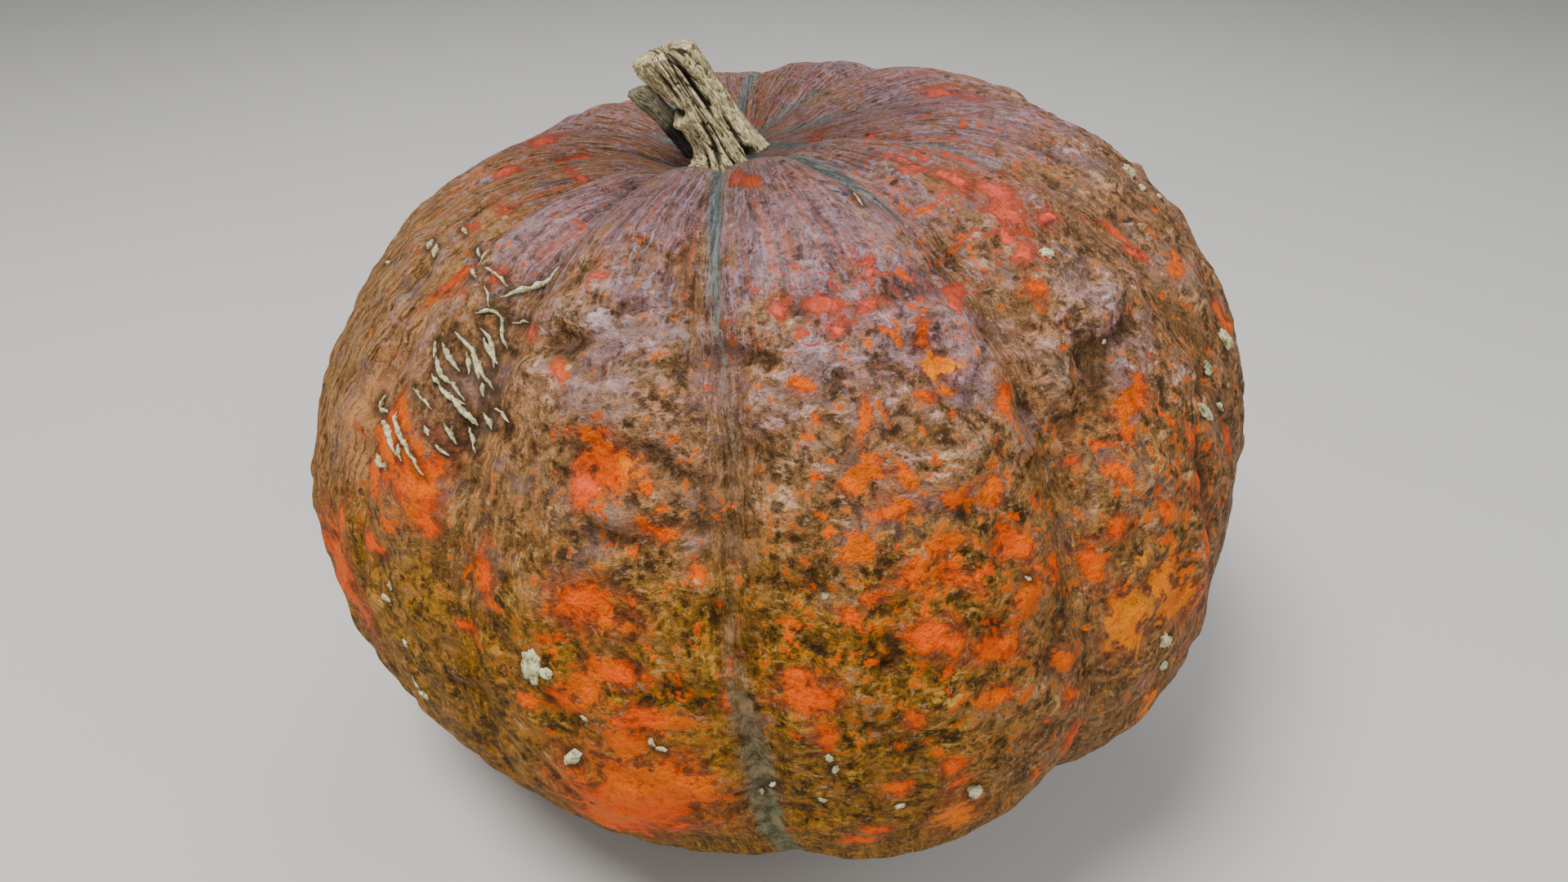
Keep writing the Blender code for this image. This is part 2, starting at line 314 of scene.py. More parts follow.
# Healed scratches: the places each passes through (azimuth and polar angle, degrees), its
# half width and its height in millimetres.
SCRATCHES = [
    ([(-50, 37.2), (-46, 37.4), (-42.5, 38.2)], 0.8, 0.7), ([(-43, 36.5), (-39, 37), (-36, 38)], 0.55, 0.5),
    ([(-36, 39.7), (-34.4, 38), (-32.6, 36), (-31.5, 33)], 1.0, 0.7),
    ([(-38.5, 42.2), (-36, 41.2), (-34, 41.6)], 0.6, 0.6),
    ([(-35, 41.4), (-33.6, 43.2), (-32, 45)], 0.7, 0.7), ([(-33.2, 41.8), (-31.4, 41)], 0.6, 0.5),
    ([(-36, 44.4), (-34.3, 45.8), (-32.4, 47)], 0.9, 0.9),
    ([(-40.5, 44.8), (-36.5, 46.2), (-33.6, 48.6), (-31.4, 50)], 1.0, 1.0),
    ([(-42, 46.4), (-39.4, 47.8), (-37, 49)], 0.9, 0.9),
    ([(-42, 48), (-39, 50), (-36.5, 50.8), (-34.6, 52)], 0.9, 0.9),
    ([(-39.5, 51), (-37, 52), (-34.6, 52.3)], 0.9, 0.8),
    ([(-36.6, 51.6), (-34.8, 53.2), (-32.6, 54.4)], 1.3, 1.1),
    ([(-31.2, 52), (-29.4, 52.2), (-27.4, 53.1)], 0.7, 0.6), ([(-32.2, 52.6), (-30.6, 54.4)], 0.8, 0.7),
    ([(-43, 52.4), (-40.5, 53.4), (-38.6, 54)], 0.5, 0.4),
    ([(-36.6, 55), (-35.2, 56.2), (-34.2, 57)], 0.8, 0.8),
    ([(-34, 54.8), (-32.6, 56.2), (-31.8, 57.6)], 0.8, 0.9), ([(-39, 55.9), (-37.2, 56.8)], 0.9, 0.7),
    ([(-36.2, 57.5), (-34.5, 58.4)], 0.8, 0.7), ([(-51.8, 58.6), (-49.4, 57.3), (-47, 56.8)], 0.8, 0.8),
    ([(-48.6, 58.3), (-45.6, 58), (-43, 58.6), (-39.9, 60.8)], 1.1, 1.0),
    ([(-45, 55.8), (-42, 57.6), (-38, 60)], 0.8, 0.8),
    ([(-46.8, 62), (-45, 62.5), (-42.8, 62.2)], 1.2, 1.1), ([(-63.6, 37.2), (-61.6, 38.4)], 0.9, 0.8),
    ([(-61.2, 37.2), (-58.6, 38.6)], 0.9, 0.8), ([(-60.4, 33.6), (-57.8, 33.9)], 0.7, 0.6),
    ([(-54, 34.4), (-52.6, 35.2)], 0.6, 0.5), ([(-52, 56), (-51.6, 58.6)], 0.7, 0.7),
    ([(-37, 43.4), (-35.2, 44.2), (-33.8, 45.6), (-32.8, 47.6)], 0.7, 0.6),
    ([(-41, 50.2), (-38.8, 51.2)], 0.6, 0.5), ([(-37.4, 46.4), (-36.2, 47.8), (-35.6, 49)], 0.6, 0.6),
    ([(-40, 38.6), (-37.6, 39.8), (-36.4, 41)], 0.5, 0.4), ([(-33.4, 49.4), (-32.6, 51)], 0.7, 0.6),
    ([(-35.4, 47.2), (-33.8, 49.2)], 0.8, 0.8), ([(-43.6, 46.6), (-42, 48.6)], 0.6, 0.6),
    ([(-41.2, 58.8), (-40.6, 60.6)], 0.7, 0.6), ([(-50.4, 33), (-47.6, 36)], 0.5, 0.4),
    ([(-38.6, 59.2), (-36.8, 61.4)], 0.6, 0.5), ([(-86, 50), (-83, 48.2)], 0.9, 0.8),
    ([(26, 29), (27.4, 25.6)], 0.5, 0.4), ([(-43.2, 90.6), (-42.9, 92.6)], 0.5, 0.4),
    ([(24.4, 75.4), (25, 76.2)], 0.6, 0.5), ([(-1.6, 94.4), (-0.8, 93.2)], 0.7, 0.6),
    ([(60.6, 75), (61.6, 77)], 0.9, 0.8),
]
# Cork beads: azimuth, polar angle, tilt in degrees, half length, half width and height in
# millimetres.
BEADS = [
    (-22.2, 79.4, 70, 4.6, 3.4, 3.0), (-20.6, 80.2, 10, 2.2, 1.4, 1.6), (-19.8, 90.6, -40, 4.0, 2.0, 1.8),
    (-42.6, 93.2, 0, 2.2, 1.6, 1.4), (-43.8, 80, 0, 2.0, 1.1, 1.0), (-42.2, 77.4, 60, 1.2, 0.9, 0.8),
    (-41.6, 85.3, 30, 1.2, 1.0, 0.8), (-11.4, 87.8, 80, 1.4, 0.8, 1.0), (-10.6, 88.6, 20, 1.3, 0.8, 1.0),
    (-17.6, 85.6, 45, 1.2, 0.9, 0.8), (44.3, 44.9, 80, 2.3, 2.1, 1.6), (41.4, 93.4, 75, 2.6, 2.0, 1.6),
    (42.1, 98.2, 70, 2.6, 1.6, 1.4), (4.4, 89.6, 80, 1.8, 1.2, 1.0), (4.8, 91, 100, 1.6, 0.9, 0.9),
    (10, 96.8, 10, 1.6, 0.9, 0.9), (17.4, 99, 60, 3.2, 2.0, 1.6), (53.6, 71.6, 50, 4.2, 1.8, 1.8),
    (55, 73, 55, 2.6, 1.2, 1.2), (68.4, 70.8, 45, 4.4, 2.8, 2.0), (80.4, 47.8, 40, 3.6, 2.6, 2.0),
    (78, 50, 0, 1.7, 1.2, 1.2), (81.8, 53.8, 20, 1.6, 1.1, 1.0), (61.4, 70.4, 80, 2.8, 1.4, 1.4),
    (-2.6, 96, 60, 1.2, 0.7, 0.7), (3.2, 95.8, 30, 1.2, 0.7, 0.7), (44.1, 56.6, 0, 0.9, 0.8, 0.8),
    (120, 60, 30, 3.4, 2.2, 1.6), (152, 82, 60, 2.6, 1.8, 1.4), (-160, 52, 20, 3.2, 1.6, 1.4),
    (-128, 74, 75, 2.8, 2.0, 1.6), (-98, 66, 30, 2.4, 1.4, 1.2), (171, 40, 10, 2.2, 1.4, 1.2),
]


# Where the rind ripened first: azimuth and polar angle, half width and half height in
# degrees, and warmth from 0, coral, through orange to 1, yellow-orange.
RIPE_PATCHES = [
    (-43, 60, 6, 4, 0.45), (-37.5, 62, 3.6, 5, 0.5), (-47, 65, 3, 2.6, 0.6), (-44.5, 56.5, 3, 3, 0.35),
    (-46, 74, 3, 1.4, 0.6), (-36, 66.5, 2.4, 1.6, 0.6), (-41, 68.5, 1, 1, 0.55), (-27.5, 70, 1.7, 3.4, 0.6),
    (-15.5, 71.3, 4, 3.6, 0.4), (-10.8, 56.5, 2.2, 2, 0.95), (-12.5, 57, 3, 2.8, 0.3),
    (-15, 59, 2.4, 2.4, 0.1), (-14.5, 53.5, 2.4, 1.1, 0.2), (-15, 97.5, 9, 7.8, 0.55),
    (-18, 104, 5.2, 6, 0.55), (-10.5, 94.5, 4.2, 4.4, 0.55), (-13, 79, 3.2, 1.6, 0.4),
    (-11, 84.5, 3.6, 2, 0.5), (-16, 81.5, 1.8, 1.8, 0.45), (-19, 83, 1.4, 1.4, 0.4),
    (-22.5, 84, 1.8, 1.2, 0.4), (-13.5, 87.5, 2.8, 2.4, 0.5), (-20.5, 76.5, 1.3, 1.2, 0.3),
    (-9, 63.5, 1.6, 1.2, 0.4), (-6.5, 68, 0.9, 1.2, 0.4), (-21, 47, 1.2, 1, 0.15), (-20, 36, 2, 1.1, 0.1),
    (-28, 42, 2, 1, 0.1), (-57, 84, 4, 9, 0.5), (-53.5, 74, 1.2, 3, 0.5), (-3, 78, 0.9, 1.4, 0.5),
    (-3, 82.5, 1, 1.6, 0.5), (-31, 79, 1.4, 0.9, 0.6), (7, 50, 1.5, 1.2, 0.4), (22.5, 47, 1.2, 2, 0.65),
    (23, 51, 1.4, 1.1, 0.95), (19.5, 54.3, 1.4, 1.3, 0.5), (22.5, 54, 1.5, 1, 0.3), (30, 43.5, 1.6, 1, 0.1),
    (28.5, 56.5, 1.1, 2, 0.2), (12.5, 55.5, 1.1, 2.6, 0.4), (11, 60.5, 1.5, 1.1, 0.4),
    (14.5, 61, 1.3, 1.5, 0.4), (12.8, 64, 2.2, 1.1, 0.4), (18.5, 64, 1.5, 1.2, 0.4),
    (22.5, 65.3, 1.9, 1.6, 0.4), (10, 67.5, 1.6, 1.6, 0.5), (18, 69, 2, 1.4, 0.5),
    (14.5, 71, 1.8, 1.9, 0.5), (9, 73, 1.2, 1.1, 0.5), (11.3, 72.5, 1.1, 1, 0.5), (18, 73, 1.5, 1.5, 0.6),
    (24, 72, 1.3, 2.2, 0.55), (13.5, 77, 2.2, 1.8, 0.55), (16, 79, 1.6, 1.6, 0.5), (23.5, 77.5, 2, 2, 0.6),
    (28, 76.5, 1.5, 1.5, 0.4), (3.5, 81.5, 2.6, 2.4, 0.6), (2, 79.5, 1.1, 1, 0.6),
    (20.5, 81.5, 2.6, 1.5, 0.55), (4, 86.5, 1.3, 2, 0.4), (12, 86.5, 1.2, 1.5, 0.4), (20, 87, 2, 1.5, 0.5),
    (28, 88, 1.5, 1.8, 0.3), (28, 92.5, 1.5, 1.2, 0.3), (9, 95, 1.4, 1.5, 0.45), (15, 92, 2, 1.4, 0.4),
    (16, 96.5, 2, 1.5, 0.5), (15, 103, 2.6, 4.6, 0.75), (8.5, 101.5, 1.4, 1.2, 0.5),
    (7, 105, 1.6, 1.8, 0.5), (30, 101, 1.2, 3, 0.3), (24, 103, 0.8, 2.6, 0.3), (33, 66, 1, 1, 0.3),
    (42, 64, 2.4, 1.5, 0.5), (44.5, 62.8, 1.2, 1.6, 0.35), (40.5, 67, 1.6, 1.3, 0.2), (37, 70, 1, 2.6, 0.4),
    (49, 72, 0.9, 2.6, 0.2), (36.5, 76, 1.5, 1.5, 0.6), (43, 77, 1.4, 2, 0.5), (48.5, 78, 2, 1.4, 0.5),
    (32.5, 79, 1.6, 3.4, 0.25), (35.5, 87.5, 3, 4.2, 0.95), (41, 86, 2.2, 2.4, 0.85),
    (42.5, 89.5, 3, 1.6, 0.8), (48.5, 85.5, 2, 4.4, 0.6), (47, 92.5, 2.8, 1.3, 0.2), (42, 107, 1.6, 4, 0.8),
    (2.2, 16.5, 2.6, 2.0, 0.2), (5.5, 18.4, 2.4, 1.4, 0.25), (43, 25, 1.5, 3, 0.1), (45, 31, 3.6, 2.8, 0.1),
    (49, 36, 3.6, 3, 0.1), (45, 38.5, 3, 2.2, 0.05), (42, 43, 2.6, 1.2, 0), (51, 42, 2.4, 1.8, 0.15),
    (39.5, 47.5, 1.4, 1.8, 0.35), (68, 11, 4.5, 1.4, 0.05), (67, 15, 3, 1, 0.1), (79, 8, 8, 1, 0.05),
    (66, 57, 2, 1.5, 0.2), (62, 50, 0.9, 3.6, 0.15), (61.5, 82, 0.9, 3, 0.6), (73, 70, 2.6, 3, 0.5),
    (-101, 23, 6, 2.4, 0.05), (-87, 17, 3, 2.6, 0.05), (-86, 27, 2, 2, 0.1), (-62, 19, 7, 0.9, 0.1),
    (-59, 28, 2.6, 1.4, 0.1), (-58, 33, 1.5, 1, 0.1), (-52.5, 28, 0.9, 4, 0), (-52.8, 40, 0.8, 4, 0.3),
    (-46.5, 41, 3, 0.9, 0.2), (-39.5, 37, 1.6, 1.4, 0.15), (6, 41, 1.6, 1.6, 0.05), (12, 41, 2, 1.3, 0.05),
    (17, 42, 2.6, 0.9, 0.05), (12.5, 44, 1.6, 0.9, 0.1), (0.3, 41, 1.1, 1, 0.05), (18.5, 38, 2, 0.8, 0),
]


def ripeness(azimuth, polar, patches):
    """How far inside the nearest patch a place is: 1 at a patch's middle, 0 on its edge, below 0
    outside; and the warmth of the patches there, weighted by how near each one is."""
    best = np.full(azimuth.shape, -1.5)
    warm = np.full(azimuth.shape, 1e-4)
    weight = np.full(azimuth.shape, 2e-4)
    for az, at, wide, high, warmth in patches:
        near = np.abs(polar - at) < high * 2.6
        rows = np.where(near.any(1))[0]
        part = slice(rows[0], rows[-1] + 1)
        off = ((azimuth[part] - az + 180) % 360 - 180) / wide
        inside = 1 - np.sqrt(off**2 + ((polar[part] - at) / high) ** 2)
        best[part] = np.maximum(best[part], inside)
        pull = np.exp(2.5 * np.minimum(inside, 1))
        pull = np.where(inside > -1.5, pull, 0)
        warm[part] += pull * warmth
        weight[part] += pull
    return best, warm / weight


def unseen_patches(seed):
    """More patches of the same kinds for the far side, drawn at random: coral and small high up,
    orange and larger low down."""
    draw = np.random.default_rng(seed)
    count = 110
    az = draw.uniform(92, 258, count)
    at = np.degrees(np.arccos(draw.uniform(-0.72, 0.93, count)))
    size = 0.9 + draw.gamma(1.4, 1.1, count)
    low = np.clip((at - 40) / 60, 0, 1)
    wide = size * (0.8 + 0.5 * draw.random(count)) / np.maximum(np.sin(np.radians(at)), 0.5)
    high = size * (0.8 + 0.5 * draw.random(count))
    warmth = np.clip(0.05 + 0.5 * low + draw.normal(0, 0.12, count), 0, 1)
    return np.stack([az, at, wide, high, warmth], -1).tolist()


rind_space = np.stack([np.cos(np.radians(AZ)), np.sin(np.radians(AZ)), np.radians(POLAR)], -1) * 0.145
stir_a = layered_noise(rind_space, 0.017, 3, 0.6, 201)
stir_b = layered_noise(rind_space, 0.017, 3, 0.6, 211)
front_side = np.cos(np.radians(AZ + 8)) * 0.5 + 0.5
patch, warmth = ripeness(AZ + 4 * stir_a, POLAR + 3.4 * stir_b, RIPE_PATCHES + unseen_patches(5))
patch = patch + (0.45 + 0.35 * (1 - front_side)) * layered_noise(rind_space, 0.009, 3, 0.65, 221)

# Bluish-green seams down the furrows: strong towards the stem, pale grey-green again
# low down the front one.
front_furrow = (np.abs((AZ + 2 + 180) % 360 - 180) < 9).astype(float)
seam_strength = np.interp(POLAR, [0, 6, 22, 34, 50], [0.9, 1, 0.9, 0.35, 0.0])
front_strength = np.interp(
    POLAR, [30, 45, 62, 76, 86, 96, 116, 130], [0.8, 0.45, 0.38, 0.5, 0.85, 1, 0.9, 0.3]
)
seam_strength = np.maximum(seam_strength, front_furrow * front_strength)
seam_width = np.interp(POLAR, [0, 10, 20, 34, 60, 82, 100], [1.2, 1.9, 2.2, 2.2, 3.2, 4.8, 4.6])
left_furrows = np.exp(-(((AZ + 48) / 24) ** 4))
seam_width = seam_width * (1 - 0.5 * left_furrows)
seam = seam_strength * np.exp(-((crease_distance / seam_width) ** 2))
furrow_shade = np.exp(-((crease_distance / 7) ** 2)) * np.interp(POLAR, [10, 30, 130], [0.2, 1, 0.6])


def blurred(grid, reach):
    """A grid averaged over a box of (2 reach + 1) places each way, twice; it wraps round the fruit."""
    for _ in range(2):
        padded = np.pad(grid, ((reach + 1, reach), (0, 0)), mode="edge").cumsum(0)
        grid = (padded[2 * reach + 1 :] - padded[: -2 * reach - 1]) / (2 * reach + 1)
        padded = np.pad(grid, ((0, 0), (reach + 1, reach)), mode="wrap").cumsum(1)
        grid = (padded[:, 2 * reach + 1 :] - padded[:, : -2 * reach - 1]) / (2 * reach + 1)
    return grid


def regions(*places):
    """Sum of soft patches of the rind, each given by its azimuth and polar angle, half width and half
    height in degrees, and weight. Each is a bell with stirred edges."""
    total = 0
    for az, at, wide, high, weight in places:
        off = ((AZ + 6 * stir_a - az + 180) % 360 - 180) / wide
        total = total + weight * np.exp(-(off**2) - ((POLAR + 5 * stir_b - at) / high) ** 2)
    return total


far_side = ease_between(-front_side, -0.5, 0)
olive = ease_between(POLAR + 10 * stir_b, 54, 78) * ease_between(front_side, 0.3, 0.8)
olive = olive * (1 - regions((58, 88, 26, 40, 0.75))) * (1 - regions((30, 100, 10, 26, 0.6)))
olive = olive + regions((142, 104, 26, 26, 0.8), (-150, 100, 22, 22, 0.7), (-100, 96, 22, 26, 0.6))
lilac = 0.5 * ease_between(48 - POLAR + 16 * stir_a, 0, 24) + regions(
    (13, 33, 17, 12, 0.6), (-40, 25, 9, 10, 0.8), (-18, 20, 10, 9, 0.5), (24, 44, 8, 9, 0.5),
    (46, 58, 9, 8, 0.5), (-82, 48, 26, 26, -0.7), (90, 26, 34, 18, 0.4), (15, 52, 24, 10, 0.35),
    (-16, 44, 12, 8, 0.35), (150, 44, 18, 16, 0.6), (-160, 40, 18, 18, 0.6), (-112, 34, 16, 14, 0.6),
)
tan = regions(
    (-75, 46, 26, 22, 1), (-62, 60, 16, 22, 0.7), (-26, 62, 9, 14, 0.5),
    (118, 74, 20, 24, 0.7), (-128, 62, 22, 26, 0.7), (176, 70, 16, 30, 0.6),
)
coral_streaks = 0.3 + regions((-95, 24, 40, 12, 1), (84, 26, 34, 20, 1), (52, 26, 16, 14, 0.7))
coral_room = 0.25 * far_side + regions(
    (20, 42, 22, 8, 1), (46, 30, 13, 12, 1), (66, 26, 24, 14, 0.7),
    (-45, 30, 16, 12, 0.5), (-90, 26, 26, 16, 0.5),
)
orange_room = 0.5 * far_side * ease_between(POLAR, 45, 70) + regions(
    (15, 74, 17, 22, 1), (46, 78, 14, 22, 0.9), (-13, 82, 10, 9, 1), (-12, 58, 9, 7, 0.8),
    (-42, 64, 9, 7, 0.8), (-27, 72, 5, 10, 0.6), (72, 66, 16, 20, 0.5),
)
peach = regions((-53, 56, 4, 16, 1), (-62, 68, 5, 12, 0.6), (55, 60, 3, 20, 0.5), (-30, 68, 3, 14, 0.5))


def scar_shadow(azimuth, polar):
    """1 beside a scratch or a bead of cork and 0 two millimetres away: painted shadow round each raised scar.
    """
    dots = [(az, at, 0.4 * length) for az, at, _, length, _, _ in BEADS]
    for path, wide, _ in SCRATCHES:
        path = np.array(path, float)
        t = np.linspace(0, len(path) - 1, 9)
        steps = np.arange(len(path))
        places = zip(np.interp(t, steps, path[:, 0]), np.interp(t, steps, path[:, 1]))
        dots += [(az, at, wide * 0.6) for az, at in places]
    shadow = np.zeros(azimuth.shape)
    for az, at, reach in dots:
        near = np.where((np.abs(polar - at) < 4).any(1))[0]
        part = slice(near[0], near[-1] + 1)
        across = ((azimuth[part] - az + 180) % 360 - 180) * 2.6 * math.sin(math.radians(at))
        away = np.hypot(across, (polar[part] - at) * 2.4) - reach
        shadow[part] = np.maximum(shadow[part], 1 - ease_between(away, 0.2, 2.0))
    return shadow


# Shares from 0 to 1, and measures, that the paint reads at each point of the rind.
shares = {
    "painted_scar_shadow": scar_shadow(AZ, POLAR), "coral_room": coral_room, "orange_room": orange_room, "peach": peach,
    "pale_seam": left_furrows, "olive": olive, "lilac": lilac, "tan": tan, "coral_streaks": coral_streaks,
}
measures = {
    "patch": patch, "warmth": warmth, "seam": seam, "furrow": furrow_shade, "down": POLAR / 180,
    "cavity": np.clip((relief - blurred(relief, 4)) / 1.1, -1.5, 1.5),
    "relief": np.clip((relief - blurred(relief, 12)) / 3, -1, 1),
}
for name, share in shares.items():
    give(fruit, name, with_ends(np.clip(share, 0, 1)))
for name, measure in measures.items():
    give(fruit, name, with_ends(measure))
wrap = np.stack([np.cos(np.radians(AZ)), np.sin(np.radians(AZ)), np.radians(POLAR) * 0.9], -1)
give(fruit, "grain", with_ends(wrap))

# A flat map of the whole rind for baking: azimuth across and polar angle down, opened behind.
uv = fruit.data.uv_layers.new(name="OFBake")
loop_vertex = np.zeros(len(fruit.data.loops), np.int32)
fruit.data.loops.foreach_get("vertex_index", loop_vertex)
corners = np.zeros(len(fruit.data.polygons), np.int32)
fruit.data.polygons.foreach_get("loop_total", corners)
first_pole = ROUND * DOWN
pole = loop_vertex >= first_pole
column = np.where(pole, 0, loop_vertex % ROUND).astype(float)
row = np.where(pole, 0, loop_vertex // ROUND).astype(float)
loop_face = np.repeat(np.arange(len(corners)), corners)
face_top = np.zeros(len(corners))
np.maximum.at(face_top, loop_face, np.where(pole, -1, column))
seam_face = face_top[loop_face] == ROUND - 1
column = np.where(seam_face & (column == 0) & ~pole, ROUND, column)
row = np.where(loop_vertex == first_pole, -1, np.where(loop_vertex == first_pole + 1, DOWN, row))
face_sum = np.zeros(len(corners))
np.add.at(face_sum, loop_face, np.where(pole, 0, column))
column = np.where(pole, face_sum[loop_face] / 2, column)
BAKE_EDGE = 0.002
inside = 1 - 2 * BAKE_EDGE
across = BAKE_EDGE + inside * column / ROUND
up = 1 - BAKE_EDGE - inside * (row + 1) / (DOWN + 1)
uv.data.foreach_set("uv", np.stack([across, up], -1).astype(np.float32).ravel())


class Shade:
    """One material's node tree. node() adds any node; Reading wraps its output."""

    def __init__(self, name):
        self.material = bpy.data.materials.new(name)
        self.material.use_nodes = True
        self.tree = self.material.node_tree
        self.surface = self.tree.nodes["Principled BSDF"]

    def node(self, kind, settings=None, inputs=None, out=0):
        """Adds a node, sets its settings, then fills its sockets by name or number with values or
        links, and gives back one of its outputs."""
        made = self.tree.nodes.new("ShaderNode" + kind)
        for name, value in (settings or {}).items():
            setattr(made, name, value)
        for name, value in (inputs or {}).items():
            self.feed(made.inputs[name], value)
        return Reading(self, made.outputs[out])

    def feed(self, socket, value):
        if isinstance(value, Reading):
            self.tree.links.new(value.socket, socket)
        else:
            socket.default_value = value

    def set(self, **sockets):
        for name, value in sockets.items():
            self.feed(self.surface.inputs[name.replace("_", " ")], value)

    def attribute(self, name, vector=False):
        return self.node("Attribute", {"attribute_name": name}, out=1 if vector else 2)

    def noise(self, vector, scale, detail=4.0, rough=0.6, warp=0.0):
        sockets = {"Vector": vector, "Scale": scale, "Detail": detail, "Roughness": rough, "Distortion": warp}
        return self.node("TexNoise", {"noise_dimensions": "3D"}, sockets)

    def ease(self, value, low, high):
        """0 below low, 1 above high, with a soft step between."""
        sockets = {"Value": value, "From Min": low, "From Max": high}
        return self.node("MapRange", {"interpolation_type": "SMOOTHSTEP"}, sockets)

    def mix(self, factor, first, second):
        """Two colours mixed, each a reading or the six digits of a screen colour."""
        first, second = (colour(c) if isinstance(c, str) else c for c in (first, second))
        settings = {"data_type": "RGBA", "clamp_factor": True}
        return self.node("Mix", settings, {0: factor, 6: first, 7: second}, out=2)

    def scaled(self, vector, by):
        return self.node("VectorMath", {"operation": "MULTIPLY"}, {0: vector, 1: by})

    def moved(self, vector, by, amount):
        """A vector pushed about by the colour of a noise, centred on zero."""
        centred = self.node("VectorMath", {"operation": "SUBTRACT"}, {0: by, 1: (0.5, 0.5, 0.5)})
        pushed = self.node("VectorMath", {"operation": "SCALE"}, {0: centred, "Scale": amount})
        return self.node("VectorMath", {"operation": "ADD"}, {0: vector, 1: pushed})

    def bump(self, height, distance, strength):
        return self.node("Bump", {}, {"Height": height, "Distance": distance, "Strength": strength})


class Reading:
    """A node's output that takes part in sums: each operator adds a Math node."""

    def __init__(self, shade, socket):
        self.shade, self.socket = shade, socket

    def math(self, operation, first, second):
        return self.shade.node("Math", {"operation": operation}, {0: first, 1: second})

    def __add__(self, other):
        return self.math("ADD", self, other)

    def __radd__(self, other):
        return self.math("ADD", other, self)

    def __sub__(self, other):
        return self.math("SUBTRACT", self, other)

    def __rsub__(self, other):
        return self.math("SUBTRACT", other, self)

    def __mul__(self, other):
        return self.math("MULTIPLY", self, other)

    def __rmul__(self, other):
        return self.math("MULTIPLY", other, self)

    def most(self, other):
        return self.math("MAXIMUM", self, other)


def colour(code):
    """The linear colour of a six-digit screen colour."""
    screen = np.array([int(code[i : i + 2], 16) for i in (0, 2, 4)]) / 255
    linear = np.where(screen <= 0.04045, screen / 12.92, ((screen + 0.055) / 1.055) ** 2.4)
    return (*linear.tolist(), 1.0)


rind_paint = Shade("waxy_rind")
place = rind_paint.node("TexCoord", out=3)
grain = rind_paint.attribute("grain", vector=True)
patch_in, warm_in, seam_in, pale_seam_in, painted_scar_shadow_in, furrow_in, relief_in, cavity_in = (
    rind_paint.attribute(name)
    for name in ("patch", "warmth", "seam", "pale_seam", "painted_scar_shadow", "furrow", "relief", "cavity")
)
down_in, olive_in, lilac_in, tan_in, peach_in, coral_room_in, orange_room_in, streaks_in = (
    rind_paint.attribute(name)
    for name in ("down", "olive", "lilac", "tan", "peach", "coral_room", "orange_room", "coral_streaks")
)
mix, ease, noise = rind_paint.mix, rind_paint.ease, rind_paint.noise

wide_noise = noise(place, 26, 3, 0.55)
slow_stir = rind_paint.node("TexNoise", {}, {"Vector": place, "Scale": 45.0, "Detail": 2.0}, out=1)
quick_stir = rind_paint.node("TexNoise", {}, {"Vector": place, "Scale": 170.0, "Detail": 2.0}, out=1)
stirred = rind_paint.moved(rind_paint.moved(place, slow_stir, 0.005), quick_stir, 0.003)
mottle = noise(stirred, 160, 6, 0.70)
blots = noise(stirred, 80, 4, 0.62)
speckle = noise(stirred, 520, 3, 0.65)
flow = noise(rind_paint.scaled(stirred, (1, 1, 2.2)), 170, 5, 0.70)
hair_space = rind_paint.moved(rind_paint.scaled(grain, (1, 1, 0.11)), quick_stir, 0.016)
hair = (noise(hair_space, 80, 5, 0.76) - 0.5) * 1.5 + 0.5
fine_hair = (noise(hair_space, 230, 3, 0.74) - 0.5) * 1.3 + 0.5
grit = noise(stirred, 360, 4, 0.72)
specks = noise(place, 760, 2, 0.6)
# Grain shows near the stem, in the furrows and on the underside; the middle is mottled.
ragged_down = down_in + (wide_noise - 0.5) * 0.22
grainy = (1 - ease(ragged_down, 0.07, 0.24)).most(ease(ragged_down, 0.50, 0.66) * 0.8)
grainy = grainy.most(furrow_in * 0.7).most(tan_in * 0.75)
rough_mottle = (mottle - 0.5) * 0.5 + (grit - 0.5) * 1.1 + (blots - 0.5) * 0.3 + 0.5
marks = hair * grainy + rough_mottle * (1 - grainy)
wisps = fine_hair * grainy + flow * (1 - grainy)


def family(dark, middle, bright, pale):
    """A ground colour that steps from dark to bright with the mottle and to pale along the wisps;
    raised bumps get a little more pale, a slight painted highlight.
    """
    made = mix(ease(marks, 0.34, 0.52), dark, middle)
    made = mix(ease(marks, 0.48, 0.66), made, bright)
    return mix(ease(wisps + relief_in * 0.06, 0.54, 0.70) * 0.8, made, pale)


ground = family("46301c", "7e5a3a", "b68258", "e8b890")
tan_ground = family("4e3014", "92683a", "c8965c", "f6c88c")
olive_ground = family("382404", "7a5210", "b07816", "e4ae30")
lilac_ground = family("58444a", "8c6a70", "bc929e", "ecc8d4")
ground = mix(tan_in, ground, tan_ground)
ground = mix(olive_in, ground, olive_ground)
lilac_edge = lilac_in + (blots - 0.5) * 1.6 + (flow - 0.5) * 1.6
ground = mix(ease(lilac_edge, 0.2, 0.9) * 0.9, ground, lilac_ground)
peach_marks = ease(peach_in + (hair - 0.5) * 2.0, 0.45, 0.8)
ground = mix(peach_marks * 0.75, ground, "c88a5a")
high = 1 - ease(ragged_down, 0.14, 0.32)
broad = noise(hair_space, 30, 3, 0.65)
broad_b = noise(rind_paint.moved(hair_space, quick_stir, 0.05), 42, 3, 0.65)
ground = mix(ease(broad, 0.53, 0.64) * high * 0.5, ground, "c46844")
ground = mix((1 - ease(broad, 0.36, 0.46)) * high * 0.5, ground, "b48250")
ground = mix(ease(broad_b, 0.55, 0.66) * high * 0.6, ground, "b0a4ba")
ground = mix((1 - ease(broad_b, 0.34, 0.44)) * high * 0.4, ground, "5c4a46")
clouds = noise(stirred, 58, 4, 0.62) + (grit - 0.5) * 0.35
low = 1 - high
ground = mix(ease(clouds, 0.52, 0.66) * low * 0.55, ground, mix(speckle, "4e3416", "86602e"))
mauve_room = low * (1 - olive_in * 0.9) * (1 - ease(down_in, 0.36, 0.50))
